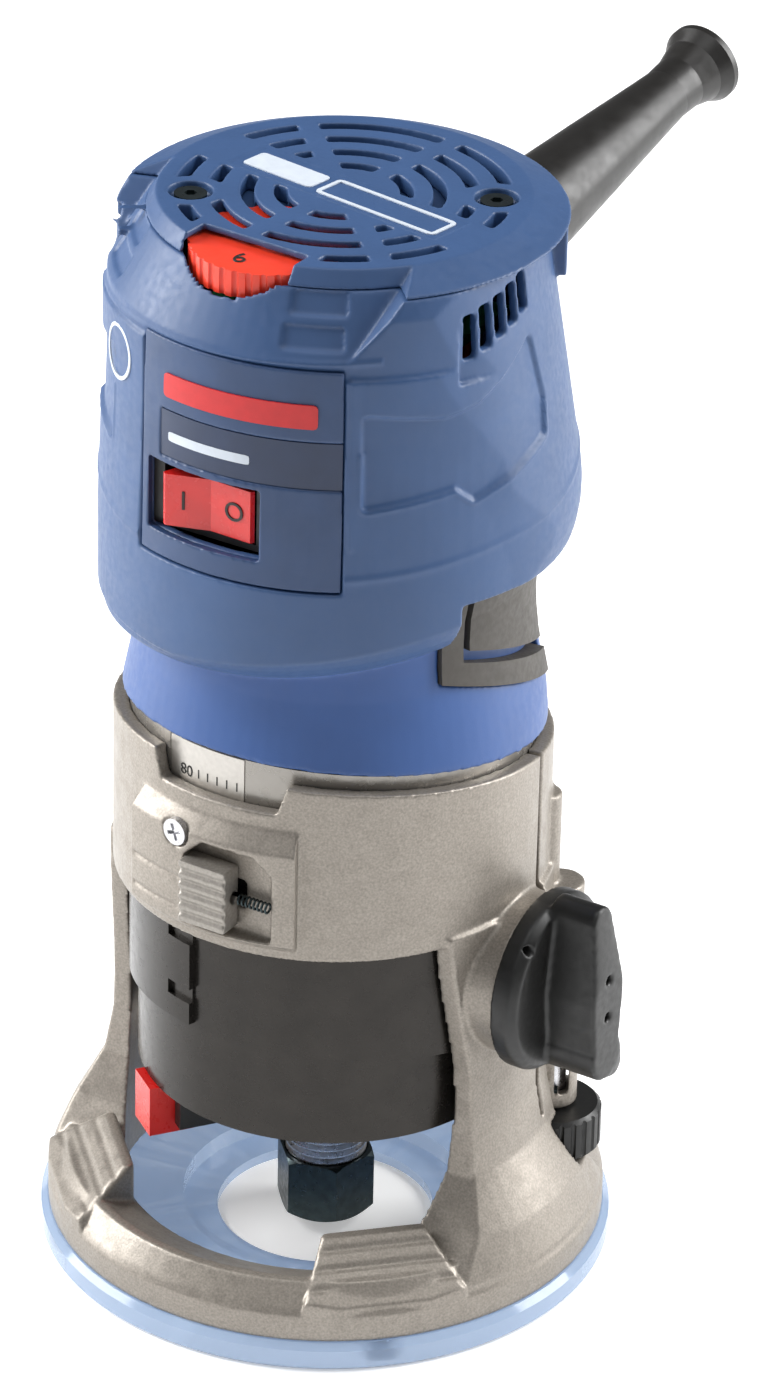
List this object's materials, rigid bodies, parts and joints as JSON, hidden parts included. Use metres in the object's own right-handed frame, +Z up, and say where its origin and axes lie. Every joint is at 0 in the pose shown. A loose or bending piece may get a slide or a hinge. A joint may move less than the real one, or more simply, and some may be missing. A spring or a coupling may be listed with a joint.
{
  "type": "trim router",
  "caption": "Palm-size electric router in a fixed base, with a clamp knob, release latch, fine depth wheel, speed dial and rocker switch.",
  "frame": {"origin": "on the spindle axis at the underside of the clear sub-base", "axes": "+Z up along the spindle, -Y the front with the rocker switch, +X the side with the clamp knob, +Y the back with the cord boot"},
  "size_m": [0.1169, 0.173, 0.2176],
  "materials": {
    "cast_alloy": "fine grainy satin paint on a casting",
    "clear_plastic": "clear, polished",
    "steel": "machined, lightly oiled",
    "dark_steel": "blackened, satin",
    "motor_black": "smooth dark anodised look, semi-gloss",
    "scale_metal": "bright satin with dark marks",
    "head_blue": "finely textured moulded plastic",
    "panel_blue": "satin moulded plastic",
    "plate_black": "satin",
    "rubber": "matt, soft",
    "boot_black": "satin",
    "black_plastic": "satin moulded plastic",
    "rocker_red": "polished",
    "dial_orange": "satin",
    "lock_red": "satin",
    "latch_grey": "satin casting",
    "lamination": "stacked sheet, satin",
    "copper": "varnished wire",
    "brass": "stamped, satin",
    "carbon": "matt block",
    "board_green": "varnished board",
    "capacitor_yellow": "dipped",
    "wire_red": "sleeved wire",
    "bronze": "machined"
  },
  "bodies": {
    "root": {"base_casting": "cast_alloy", "sub_base": "clear_plastic", "sub_base_screws": "steel", "clamp_pivot": "steel", "clamp_pin": "steel", "latch_screw": "steel", "latch_spring": "dark_steel", "adjuster_clip": "dark_steel"},
    "depth_carriage": {"depth_carriage": "bronze"},
    "fine_adjuster": {"fine_adjust_screw": "steel", "fine_adjust_knob": "black_plastic"},
    "clamp_lever": {"clamp_knob": "black_plastic", "clamp_cam": "dark_steel"},
    "release_latch": {"release_latch": "latch_grey"},
    "motor_unit": {"motor_housing": "motor_black", "depth_scale": "scale_metal", "bearing_nose": "black_plastic", "nose_screws": "steel", "lower_bearing": "steel", "air_baffle": "black_plastic", "stator_core": "lamination", "stator_windings": "copper", "brush_holders": "brass", "carbon_brushes": "carbon", "brush_springs": "steel", "upper_bearing": "steel", "bearing_bridge": "black_plastic", "housing_left": "head_blue", "housing_right": "head_blue", "housing_screws": "dark_steel", "top_cap": "head_blue", "cap_screws": "dark_steel", "front_panel": "panel_blue", "nameplate": "plate_black", "grip_pad_left": "rubber", "grip_pad_right": "rubber", "pad_rim_left": "rubber", "pad_rim_right": "rubber", "cord_boot": "boot_black", "cord_clamp": "black_plastic", "cord_clamp_screws": "steel", "switch_body": "black_plastic", "speed_control": "board_green", "control_board": "board_green", "capacitor": "capacitor_yellow", "lead_wires": "wire_red", "lock_spring": "steel"},
    "rocker": {"switch_rocker": "rocker_red"},
    "speed_dial": {"speed_dial": "dial_orange"},
    "spindle_lock": {"spindle_lock": "lock_red"},
    "rotor": {"spindle": "steel", "armature_core": "lamination", "armature_windings": "copper", "commutator": "copper", "cooling_fan": "black_plastic", "collet": "steel"},
    "collet_nut": {"collet_nut": "dark_steel"}
  },
  "joints": [
    {"name": "fine_depth", "type": "slide", "parent": "root", "child": "depth_carriage", "axis": [0, 0, 1], "range_m": [0, 0.012]},
    {"name": "coarse_depth", "type": "slide", "parent": "depth_carriage", "child": "motor_unit", "axis": [0, 0, 1], "range_m": [0, 0.0254]},
    {"name": "fine_adjust_turn", "type": "hinge", "parent": "root", "child": "fine_adjuster", "pos_m": [0.03885, 0.01979, 0.024], "axis": [0, 0, 1], "range_deg": [0, 2701]},
    {"name": "clamp_turn", "type": "hinge", "parent": "root", "child": "clamp_lever", "pos_m": [0.05, 0, 0.069], "axis": [1, 0, 0], "range_deg": [-90, 0]},
    {"name": "latch_slide", "type": "slide", "parent": "root", "child": "release_latch", "axis": [1, 0, 0], "range_m": [0, 0.004], "stiffness_N_per_m": 500, "springref_m": -0.004},
    {"name": "rocker_tilt", "type": "hinge", "parent": "motor_unit", "child": "rocker", "pos_m": [-0.0022, -0.0365, 0.1705], "axis": [0, 0, 1], "range_deg": [-16, 0]},
    {"name": "dial_turn", "type": "hinge", "parent": "motor_unit", "child": "speed_dial", "pos_m": [-0.00114, -0.02177, 0.213], "axis": [0, 0, 1], "range_deg": [0, 270]},
    {"name": "lock_press", "type": "slide", "parent": "motor_unit", "child": "spindle_lock", "axis": [0.5878, 0.809, 0], "range_m": [0, 0.003], "stiffness_N_per_m": 800, "springref_m": -0.003},
    {"name": "spindle_spin", "type": "hinge", "parent": "motor_unit", "child": "rotor", "pos_m": [0, 0, 0.08], "axis": [0, 0, 1], "continuous": true},
    {"name": "nut_turn", "type": "hinge", "parent": "rotor", "child": "collet_nut", "pos_m": [0, 0, 0.009], "axis": [0, 0, 1], "range_deg": [0, 540]}
  ],
  "couplings": [
    {"joint": "fine_adjust_turn", "follows": "fine_depth", "rad_per_m": 3927}
  ]
}
